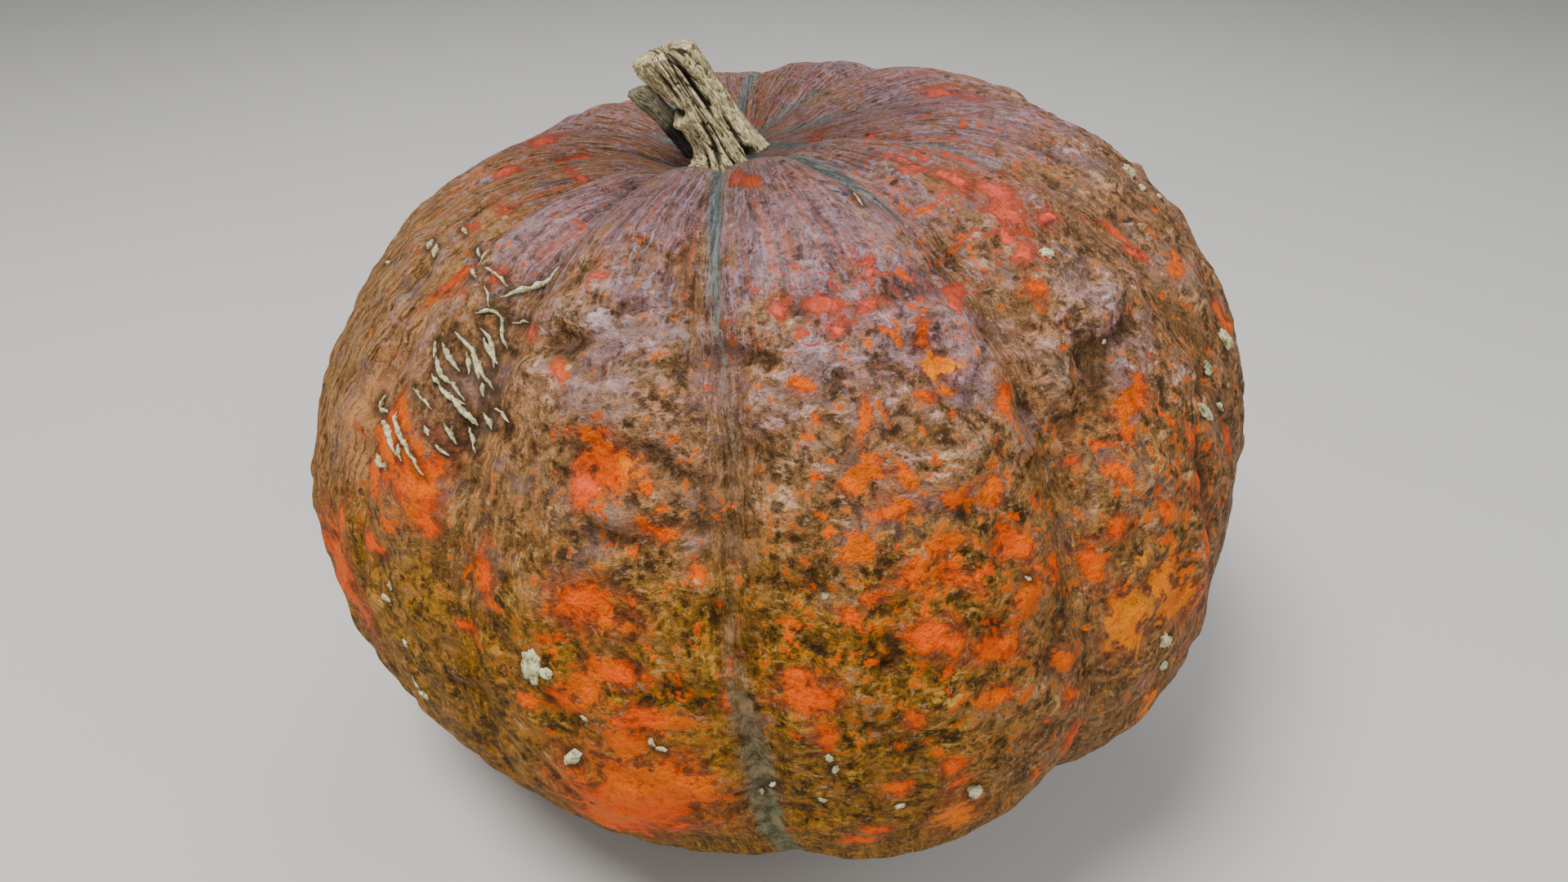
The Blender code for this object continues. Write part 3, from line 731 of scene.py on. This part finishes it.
mauve = mix(grit, "7e5c58", "c09e9a")
ground = mix((1 - ease(clouds, 0.34, 0.46)) * mauve_room * 0.45, ground, mauve)
slate = ease(blots + (grit - 0.5) * 0.5, 0.55, 0.66) * (1 - olive_in * 0.7) * 0.6
ground = mix(slate, ground, mix(speckle, "3e342e", "6a615e"))

# Rust spreads round the ripe patches and in small clouds of its own.
edge = (mottle - 0.5) * 1.0 + (speckle - 0.5) * 0.5
rust = ease(patch_in * 0.9 + edge, -0.50, 0.05) * 0.5
rust = rust.most(ease(flow + (wide_noise - 0.5) * 0.5, 0.58, 0.70) * 0.35)
ground = mix(rust, ground, mix(speckle, "8a3e18", "b8583a"))
# A pale lavender-tan tint, mostly on raised bumps: partly the rind's waxy bloom, partly a painted highlight
# on the bumps.
bloom_and_highlight_edge = relief_in * 1.0 + (flow - 0.5) * 1.8 + (grit - 0.5) * 1.4 + lilac_in * 0.45
bloom_and_painted_highlight = ease(bloom_and_highlight_edge, 0.30, 1.15) * (1 - olive_in * 0.8) * (1 - orange_room_in * 0.4)
ground = mix(bloom_and_painted_highlight * 0.3, ground, mix(ease(lilac_in, 0.1, 0.6), "bc9c80", "b4a4a6"))
ground = mix(ease(specks, 0.58, 0.72) * 0.25, ground, "dcc0a0")
ground = mix((1 - ease(specks, 0.32, 0.42)) * 0.45, ground, "32221a")

# Ripe patches, with edges broken up by the mottle, and small ripe flecks round them.
ripe_edge = (mottle - 0.5) * 1.5 + (blots - 0.5) * 0.8 + (grit - 0.5) * 1.5
ripe_depth = patch_in + ripe_edge - 0.14
ripe = ease(ripe_depth, -0.10, 0.14)
room = coral_room_in.most(orange_room_in)
fleck_noise = noise(stirred, 170, 3, 0.6)
tiny_noise = noise(stirred, 360, 2, 0.5)
fleck_depth = fleck_noise + room * 0.14 + (grit - 0.5) * 0.30 - 0.70
tiny_depth = tiny_noise + room * 0.12 + (blots - 0.5) * 0.25 - 0.70
ripe = ripe.most(ease(fleck_depth, -0.02, 0.05)).most(ease(tiny_depth, -0.02, 0.05) * 0.8)
coral_hair = ease(hair + (blots - 0.5) * 0.4, 0.60, 0.76) * grainy * streaks_in
ripe = ripe.most(coral_hair * 0.65)
coral_grit = ease(grit + (hair - 0.5) * 0.5, 0.40, 0.56)
ripe = ripe * (1 - high * 0.55 * (1 - coral_grit))
ripe_core = ease(ripe_depth, 0.0, 0.5).most(ease(fleck_depth, 0.0, 0.12))
coral = mix(ripe_core, "a83a26", "e8604a")
orange = mix(ripe_core, "bc4404", "ee5a00")
orange = mix(ease(blots + (grit - 0.5) * 0.8, 0.46, 0.62) * 0.8, orange, "f07200")
yellow = mix(ease(blots + (grit - 0.5) * 0.5, 0.38, 0.62), "ea6e00", "fa9400")
warm_noise = warm_in + (wide_noise - 0.5) * 0.45 + (mottle - 0.5) * 0.3
coralness = coral_room_in * (1 - orange_room_in) * 0.3
flesh = mix(ease(warm_noise + down_in * 0.6 - coralness, 0.20, 0.44), coral, orange)
flesh = mix(ease(warm_noise, 0.62, 0.92), flesh, yellow)
flesh_marks = ease((blots - 0.5) * 0.7 + rough_mottle, 0.56, 0.72)
flesh = mix(flesh_marks * 0.5, flesh, "94420c")
flesh = mix((1 - ease(specks, 0.30, 0.42)) * 0.4, flesh, "a03408")
skin = mix(ripe, ground, flesh)

# Seams in the furrows, painted shade in the hollows, and pin-prick specks.
seam_edge = ease(seam_in + (hair - 0.5) * 0.6 + (grit - 0.5) * 1.0, 0.28, 0.78)
seam_tone = mix(ease(hair, 0.4, 0.6), "46605e", "7c9490")
low_seam = mix(ease(grit, 0.4, 0.6), "60523a", "8c7e62")
foot_seam = mix(ease(grit, 0.4, 0.6), "4e5844", "7c8468")
low_seam = mix(ease(down_in, 0.46, 0.60), low_seam, foot_seam)
seam_tone = mix(pale_seam_in * 0.8, seam_tone, "a8a08c")
seam_colour = mix(ease(down_in, 0.24, 0.40), seam_tone, low_seam)
skin = mix(seam_edge * 0.8, skin, seam_colour)
# Painted shadow round each raised cork scar.
skin = mix(painted_scar_shadow_in * 0.75, skin, "2e221a")
# Painted shade in the hollows: darker where the rind sinks below its surroundings, less on ripe patches,
# seams and furrows.
hollow = 1 - ease(cavity_in + (mottle - 0.5) * 2.6, -1.25, -0.2)
hollow = hollow * (1 - ripe * 0.5) * (1 - seam_edge * 0.8) * (1 - furrow_in * 0.5)
skin = mix(hollow * 0.6, skin, "2c1c10")
pin_cells = {"Vector": stirred, "Scale": 130.0, "Randomness": 1.0}
dark_pin = rind_paint.node("TexVoronoi", {"feature": "F1"}, pin_cells)
pins = (1 - ease(dark_pin, 0.08, 0.18)) * ease(wide_noise, 0.45, 0.6)
skin = mix(pins * 0.7, skin, "241812")
pale_cells = {"Vector": place, "Scale": 100.0, "Randomness": 1.0}
pale_pin = rind_paint.node("TexVoronoi", {"feature": "F1"}, pale_cells)
pale = (1 - ease(pale_pin, 0.06, 0.14)) * ease(mottle, 0.5, 0.6)
skin = mix(pale * 0.7, skin, "c8bc98")

height = marks * 0.8 + specks * 0.15 + wisps * 0.3 - pins * 0.2
rind_bump = rind_paint.bump(height, 0.0026, 1.0)
rough = 0.55 + (1 - ripe) * 0.06 + (speckle - 0.5) * 0.3 + seam_edge * 0.1
rind_paint.set(Base_Color=skin, Roughness=rough, Normal=rind_bump)
rind_paint.surface.inputs["Specular IOR Level"].default_value = 0.09
fruit.data.materials.append(rind_paint.material)
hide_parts("fruit")
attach(fruit, "root")

# ======================================================================================
# The stem: the dry woody stalk the fruit hung by, five-sided when green, now corky, split
# lengthwise and cut off roughly at the top. It flares into toes that grip the crown.
# ======================================================================================

STEM_FOOT = np.array([-0.0007, 0, -0.008])
STEM_LENGTH = 0.042
STEM_LEAN = (math.radians(24), math.radians(35))
STEM_RADIUS = 0.0086
STEM_FLARE = 0.0046
crown = standing(np.array([[0, 0, TOP_HEIGHT - CROWN_DIP]]))[0]


def leaning_path(foot, length, leans, along):
    """The middle line of a stalk from foot, its lean towards -X growing evenly, and its direction.
    The lean is integrated exactly: x' = -sin(lean), z' = cos(lean)."""
    low, top = leans
    lean = low + (top - low) * along
    rate = (top - low) / length
    x = (np.cos(lean) - math.cos(low)) / rate
    z = (np.sin(lean) - math.sin(low)) / rate
    middle = foot + np.stack([x, np.zeros_like(x), z], -1)
    return middle, np.stack([-np.sin(lean), np.zeros_like(lean), np.cos(lean)], -1)


def stalk_mesh(name, foot, length, leans, profile, columns, rows, cap_rows, end_height):
    """A stalk: circles of radius profile(angle, along) carried up a leaning path, then drawn in to
    the middle across the cut end, whose height above the last circle is end_height(angle, in)."""
    angle = np.arange(columns) * 2 * np.pi / columns
    along = np.linspace(0, 1, rows)
    A, S = np.meshgrid(angle, along)
    radius = profile(A, S)
    middle, up = leaning_path(foot, length, leans, S)
    right = np.stack([up[..., 2], np.zeros_like(S), -up[..., 0]], -1)
    back = np.array([0.0, 1.0, 0.0])
    level = 1 - ease_between(S * length, 0.002, 0.014)
    lift = end_height(A, np.ones_like(A)) * (S**8) - level * radius * np.cos(A) * (-up[..., 0] / up[..., 2])
    side = middle + right * (radius * np.cos(A))[..., None] + back * (radius * np.sin(A))[..., None]
    side = side + up * lift[..., None]
    shrink = np.linspace(1, 0, cap_rows + 1)[1:-1, None] ** 0.8
    A2 = np.broadcast_to(angle, (cap_rows - 1, columns))
    cap_radius = radius[-1] * shrink
    top, up_top = middle[-1, 0], up[-1, 0]
    cap = (
        top
        + right[-1, 0] * (cap_radius * np.cos(A2))[..., None]
        + back * (cap_radius * np.sin(A2))[..., None]
        + up_top * end_height(A2, shrink + 0 * A2)[..., None]
    )
    made = closed_grids(name, [np.concatenate([side, cap])])
    grid_along = np.concatenate([S, np.ones((cap_rows - 1, columns))])
    grid_angle = np.concatenate([A, A2])
    give(made, "along", with_ends(grid_along))
    ring = np.stack([np.cos(grid_angle), np.sin(grid_angle), grid_along * length / 0.008], -1)
    give(made, "grain", with_ends(ring))
    on_cap = np.concatenate([np.zeros_like(S), 1 - shrink + 0 * A2])
    give(made, "end", with_ends(on_cap))
    return made, grid_angle, grid_along


def wound(angle, centre, width):
    """A bell round the stalk's section, centred on an angle in degrees."""
    off = (np.degrees(angle) - centre + 180) % 360 - 180
    return np.exp(-((off / width) ** 2))


def stem_relief(angle, along):
    """Millimetres by which the stem's surface stands off its smooth shaft: rounded flutes, long
    splits of narrowing depth, a knot with a hole, an undercut left side and rough fibres."""
    mm = along * STEM_LENGTH / MM
    twist = angle + 0.30 * along
    flutes = 0.8 * (np.abs(np.cos(3.5 * twist)) - 0.60)
    ring = np.stack([np.cos(twist) * 8.6, np.sin(twist) * 8.6, mm * 0.12], -1)
    cracks = -1.9 * ease_between(0.075 - np.abs(layered_noise(ring, 3.0, 2, 0.5, 71)), 0, 0.075)
    threads = layered_noise(ring * np.array([1, 1, 1.4]), 1.3, 2, 0.5, 76)
    hairs = -1.0 * ease_between(0.10 - np.abs(threads), 0, 0.10)
    fine = 0.6 * layered_noise(ring * np.array([1, 1, 3]), 0.8, 3, 0.65, 81)
    lumps = 1.1 * layered_noise(ring * np.array([0.6, 0.6, 3.2]), 3.6, 2, 0.5, 91)
    long_split = -3.6 * wound(angle, 300 - 10 * along, 5) * ease_between(along, 0.44, 0.58)
    second = -2.2 * wound(angle, 258 + 16 * along, 5) * bump(along, 0.33, 0.20)
    third = -2.6 * wound(angle, 316 - 6 * along, 5) * bump(along, 0.32, 0.15)
    low_split = -2.2 * wound(angle, 236 + 10 * along, 5) * bump(along, 0.18, 0.16)
    high_split = -1.8 * wound(angle, 246, 5) * bump(along, 0.80, 0.16)
    undercut = -3.2 * wound(angle, 186, 30) * bump(along, 0.67, 0.085)
    knot = 1.8 * wound(angle, 212, 20) * bump(along, 0.54, 0.045)
    hole = -3.6 * wound(angle, 228, 11) * bump(along, 0.60, 0.030)
    low_hole = -4.2 * wound(angle, 318, 11) * bump(along, 0.175, 0.035)
    lip = 1.6 * wound(angle, 190, 34) * bump(along, 0.97, 0.13)
    splits = long_split + second + third + low_split + high_split
    return flutes + cracks + hairs + fine + lumps + splits + undercut + knot + hole + low_hole + lip


def stem_profile(angle, along):
    """Radius of the stem: a straight shaft, a flare of bell section at the foot, and the relief."""
    toes = 1 + 0.20 * np.cos(5 * angle + 0.9) + 0.18 * np.cos(angle)
    flare = STEM_FLARE * np.exp(-((along * STEM_LENGTH / 0.0095) ** 2)) * toes
    return STEM_RADIUS + flare + stem_relief(angle, along) * MM


def stem_end(angle, reach):
    """Height of the stem's cut end above its last circle: a slope down to the right, ragged fibres
    at the rim and a shallow pith hollow in the middle."""
    slope = -math.tan(math.radians(17)) * STEM_RADIUS * np.cos(angle) * reach
    ring = np.stack([np.cos(angle) * 6 * reach, np.sin(angle) * 6 * reach, 0 * angle], -1)
    ragged = 1.5 * layered_noise(ring + 9, 2.2, 3, 0.6, 101)
    pith = -1.8 * (1 - ease_between(reach, 0.15, 0.55))
    rim = -1.0 * ease_between(reach, 0.8, 1.0)
    split = -3.0 * wound(angle, 294, 12) * ease_between(reach, 0.3, 0.8)
    return slope + (ragged + pith + rim + split) * MM


stem, stem_angle, stem_along = stalk_mesh(
    "stem_wood", crown + STEM_FOOT, STEM_LENGTH, STEM_LEAN, stem_profile, 330, 250, 40, stem_end
)
give(stem, "depth", with_ends(np.clip(stem_relief(stem_angle, stem_along), -4, 4)))


def dry_wood(name, pale, middle, dark, grey, dark_foot_reach):
    """Weathered stalk wood: pale ridges, brown flanks, near-black splits and a grey weathering, in
    fibres that run along the stalk. The splits' darkness is partly the split wood and partly painted
    shade. The last argument, unless 0, darkens the stalk from its foot up to that share of its length."""
    paint = Shade(name)
    place = paint.node("TexCoord", out=3)
    grain = paint.attribute("grain", vector=True)
    depth = paint.attribute("depth")
    along = paint.attribute("along")
    end = paint.attribute("end")
    wander = paint.node("TexNoise", {}, {"Vector": place, "Scale": 260.0, "Detail": 3.0}, out=1)
    fibre_space = paint.moved(paint.scaled(grain, (1, 1, 0.07)), wander, 0.06)
    fibres = paint.noise(fibre_space, 9, 6, 0.78)
    fine = paint.noise(fibre_space, 34, 4, 0.78)
    blotch = paint.noise(place, 240, 4, 0.65, 0.5)
    grit = paint.noise(place, 1500, 3, 0.7)
    wood = paint.mix(paint.ease(fibres, 0.40, 0.58), middle, pale)
    wood = paint.mix(paint.ease(blotch, 0.52, 0.64) * 0.7, wood, grey)
    wood = paint.mix((1 - paint.ease(fine, 0.38, 0.50)) * 0.75, wood, dark)
    wood = paint.mix(paint.ease(fine, 0.54, 0.66) * 0.6, wood, pale)
    # Painted shade and dark split wood where the surface is sunk: darker the deeper the relief.
    cracks = 1 - paint.ease(depth + (fibres - 0.5) * 2.0, -1.9, -0.5)
    wood = paint.mix(cracks * 0.95, wood, dark)
    wood = paint.mix(end * 0.35, wood, middle)
    if dark_foot_reach:
        # Darker towards the foot, where the stub meets the stem.
        dark_foot = 1 - paint.ease(along + (blotch - 0.5) * 0.5, dark_foot_reach, dark_foot_reach + 0.16)
        wood = paint.mix(dark_foot * 0.95, wood, "141416")
    wood = paint.mix(paint.ease(grit, 0.6, 0.72) * 0.25, wood, pale)
    raised = fibres * 0.8 + fine * 0.5 + grit * 0.12 - cracks * 0.5
    paint.set(Base_Color=wood, Roughness=0.78 + (blotch - 0.5) * 0.3, Normal=paint.bump(raised, 0.0007, 0.9))
    paint.surface.inputs["Specular IOR Level"].default_value = 0.3
    return paint.material


stem.data.materials.append(
    dry_wood("weathered_stalk", "eadcac", "a8946c", "261f16", "847a5c", 0)
)
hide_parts("stem")
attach(stem, "root")

# ======================================================================================
# The side stub: what is left of a leaf stalk that grew beside the stem's foot. It is a
# short broken piece of the same dry wood, darker and hollowed where it joins the stem.
# ======================================================================================

STUB_FOOT = np.array([-0.0125, -0.001, -0.0025])
STUB_LENGTH = 0.0265
STUB_LEAN = (math.radians(34), math.radians(47))
STUB_RADIUS = 0.0029


def stub_profile(angle, along):
    """Radius of the stub: a tapering shaft with shallow flutes, fibres and a gouge at its foot."""
    mm = along * STUB_LENGTH / MM
    base = STUB_RADIUS / MM * (1.16 - 0.16 * along)
    ring = np.stack([np.cos(angle) * 3.1, np.sin(angle) * 3.1, mm * 0.2], -1)
    flutes = 0.3 * (np.abs(np.cos(2.5 * angle + 0.6 * along)) - 0.6)
    fibres = -0.55 * ease_between(0.12 - np.abs(layered_noise(ring, 1.6, 2, 0.5, 111)), 0, 0.12)
    fine = 0.35 * layered_noise(ring * np.array([1, 1, 2]), 0.7, 3, 0.6, 121)
    gouge = -1.3 * wound(angle, 320, 34) * bump(along, 0.42, 0.16)
    knob = 0.55 * bump(along, 0.88, 0.12)
    return (base + flutes + fibres + fine + gouge + knob) * MM


def stub_end(angle, reach):
    """Height of the stub's broken end: a slope and torn fibres."""
    slope = -math.tan(math.radians(28)) * STUB_RADIUS * np.cos(angle) * reach
    ring = np.stack([np.cos(angle) * 3 * reach, np.sin(angle) * 3 * reach, 0 * angle], -1)
    torn = 1.3 * layered_noise(ring + 4, 1.3, 3, 0.6, 131)
    return slope + (torn - 0.9 * ease_between(reach, 0.7, 1.0)) * MM


stub, stub_angle, stub_along = stalk_mesh(
    "side_stub_wood", crown + STUB_FOOT, STUB_LENGTH, STUB_LEAN, stub_profile, 160, 130, 24, stub_end
)
give(stub, "depth", with_ends(np.clip(stub_profile(stub_angle, stub_along) / MM - 2.9, -2, 2)))
stub.data.materials.append(
    dry_wood("dark_footed_stalk", "a8a080", "666048", "1b1713", "55523f", 0.42)
)
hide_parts("stem_stub")
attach(stub, "root")

# ======================================================================================
# Cork scars: where the young rind was scratched or pricked it healed with raised strips
# and beads of pale cork. They are part of the rind's surface and sit half sunk in it.
# ======================================================================================

def cork_strip(path, half_width, height, seed):
    """A healed scratch: half-sunk ellipses carried along a path on the rind, swelling in the middle
    as sin(pi s)^0.8, ragged at the edges, with both ends drawn to a point."""
    rows, columns = 26, 12
    path = np.array(path, float)
    reach = np.concatenate([[0], np.cumsum(np.hypot(*np.diff(path, axis=0).T))])
    s = np.linspace(0.02, 0.98, rows)
    az = np.interp(s * reach[-1], reach, path[:, 0])
    polar = np.interp(s * reach[-1], reach, path[:, 1])
    here, normal, _, _ = skin_frame(az, polar)
    along = np.gradient(here, axis=0)
    along /= np.linalg.norm(along, axis=1, keepdims=True)
    side = np.cross(normal, along)
    wobble = layered_noise(np.stack([s * reach[-1], 0 * s + seed, 0 * s], -1), 1.1, 2, 0.6, 141 + seed)
    full = np.sin(np.pi * s) ** 0.8 * (1 + 1.3 * wobble)
    angle = np.arange(columns) * 2 * np.pi / columns
    run = s[:, None] * reach[-1] + 0 * angle
    section = np.stack([run, np.cos(angle) + 0 * run, np.sin(angle) + seed + 0 * run], -1)
    rough = layered_noise(section, 0.5, 3, 0.7, 151 + seed)
    width = 0.66 * half_width * MM * full[:, None] * (1 + 1.3 * rough)
    tall = height * MM * full[:, None] * (1 + 0.45 * rough)
    bend = 0.6 * MM * wobble[:, None] * side
    across = side[:, None] * (np.cos(angle) * width)[..., None]
    upward = normal[:, None] * (np.sin(angle) * tall)[..., None]
    return here[:, None] + bend[:, None] + (across + upward) + normal[:, None] * (0.15 * height * MM)


def cork_bead(az, polar, tilt, half_length, half_width, height, seed):
    """A bead of cork: a half-sunk, lumpy ellipsoid lying on the rind, turned by its tilt."""
    rows, columns = 22, 30
    here, normal, around, down = (v[0] for v in skin_frame(np.array([az]), np.array([polar])))
    c, s = math.cos(math.radians(tilt)), math.sin(math.radians(tilt))
    along, side = around * c + down * s, down * c - around * s
    lat = np.linspace(0.06, np.pi - 0.06, rows)[:, None]
    lon = np.arange(columns)[None] * 2 * np.pi / columns
    unit = np.stack([np.cos(lat) + 0 * lon, np.sin(lat) * np.cos(lon), np.sin(lat) * np.sin(lon)], -1)
    lumpy = 1 + 1.0 * layered_noise(unit + seed * 3.7, 0.8, 3, 0.7, 161)
    half = np.array([0.9 * half_length, 0.85 * half_width, 0.6 * height])
    x, y, z = (unit * lumpy[..., None] * MM * half).transpose(2, 0, 1)
    hand = 1 if np.dot(np.cross(along, side), normal) > 0 else -1
    return here + along * x[..., None] + hand * side * y[..., None] + normal * z[..., None]


strips = [cork_strip(path, wide, tall, k) for k, (path, wide, tall) in enumerate(SCRATCHES)]
beads = [cork_bead(*values, k) for k, values in enumerate(BEADS)]
scars = closed_grids("cork_scars", strips + beads)

cork = Shade("healed_cork")
place = cork.node("TexCoord", out=3)
crumb = cork.noise(place, 700, 5, 0.7)
stain = cork.noise(place, 260, 3, 0.6)
cork_colour = cork.mix(cork.ease(crumb, 0.36, 0.6), "8a8256", "ddd6aa")
cork_colour = cork.mix(cork.ease(stain, 0.5, 0.7) * 0.5, cork_colour, "75806e")
cork_colour = cork.mix((1 - cork.ease(crumb, 0.30, 0.40)) * 0.7, cork_colour, "3c3626")
cork.set(Base_Color=cork_colour, Roughness=0.8 + (stain - 0.5) * 0.2, Normal=cork.bump(crumb, 0.0006, 0.8))
cork.surface.inputs["Specular IOR Level"].default_value = 0.3
scars.data.materials.append(cork.material)
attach(scars, "root")

# ======================================================================================
# The studio: a plain pale floor, a soft light over the front left, weaker ones from the
# right, from behind and low in front, and a pale surround. The camera looks down on it.
# ======================================================================================

floor_mesh = bpy.data.meshes.new("studio_floor")
HALF = 6.0
floor_corners = [(-HALF, -HALF, 0), (HALF, -HALF, 0), (HALF, HALF, 0), (-HALF, HALF, 0)]
floor_mesh.from_pydata(floor_corners, [], [(0, 1, 2, 3)])
floor = bpy.data.objects.new("studio_floor", floor_mesh)
floor.location.z = -0.0004
bpy.context.scene.collection.objects.link(floor)
floor_paint = Shade("pale_floor")
floor_place = floor_paint.node("TexCoord", out=3)
floor_tone = floor_paint.mix(floor_paint.noise(floor_place, 3, 2), "c9c7c3", "cfcdc9")
floor_paint.set(Base_Color=floor_tone, Roughness=0.85)
floor.data.materials.append(floor_paint.material)


def softbox(name, place, target, size, power, tint):
    """A round soft light at a place, aimed at a target: metres and watts."""
    light = bpy.data.lights.new(name, "AREA")
    light.shape = "DISK"
    light.size = size
    light.energy = power
    light.color = tint
    made = bpy.data.objects.new(name, light)
    aim = Vector(target) - Vector(place)
    made.matrix_world = Matrix.Translation(Vector(place)) @ aim.to_track_quat("-Z", "Y").to_matrix().to_4x4()
    bpy.context.scene.collection.objects.link(made)


softbox("key_light", (-0.35, -0.30, 1.35), (0, 0, 0.1), 0.55, 22, (1.0, 0.98, 0.95))
softbox("right_light", (1.1, -0.35, 0.9), (0, 0, 0.1), 0.8, 5, (0.93, 0.96, 1.0))
softbox("back_light", (0.1, 1.0, 1.1), (0, 0, 0.12), 0.7, 4, (1.0, 1.0, 1.0))
softbox("low_fill", (0.1, -1.9, 0.8), (0, 0, 0.1), 1.0, 12, (1.0, 0.99, 0.97))

surround = bpy.data.worlds.new("pale_surround")
surround.use_nodes = True
surround.node_tree.nodes["Background"].inputs["Color"].default_value = (0.80, 0.82, 0.85, 1)
surround.node_tree.nodes["Background"].inputs["Strength"].default_value = 0.34
bpy.context.scene.world = surround

CAMERA_HEIGHT_ANGLE = 0.5586
CAMERA_DISTANCE = 0.3728
LENS = 24.44
FRAME_SHIFT = (0.0027, -0.0147)
body_centre = Vector(standing(np.zeros((1, 3)))[0].tolist())
camera_data = bpy.data.cameras.new("studio_camera")
camera_data.sensor_width = 36
camera_data.lens = LENS
camera_data.shift_x, camera_data.shift_y = FRAME_SHIFT
camera_data.clip_start = 0.01
camera = bpy.data.objects.new("studio_camera", camera_data)
away = Vector((0, -math.cos(CAMERA_HEIGHT_ANGLE), math.sin(CAMERA_HEIGHT_ANGLE)))
look = (-away).to_track_quat("-Z", "Y").to_matrix().to_4x4()
camera.matrix_world = Matrix.Translation(body_centre + away * CAMERA_DISTANCE) @ look
bpy.context.scene.collection.objects.link(camera)
bpy.context.scene.camera = camera
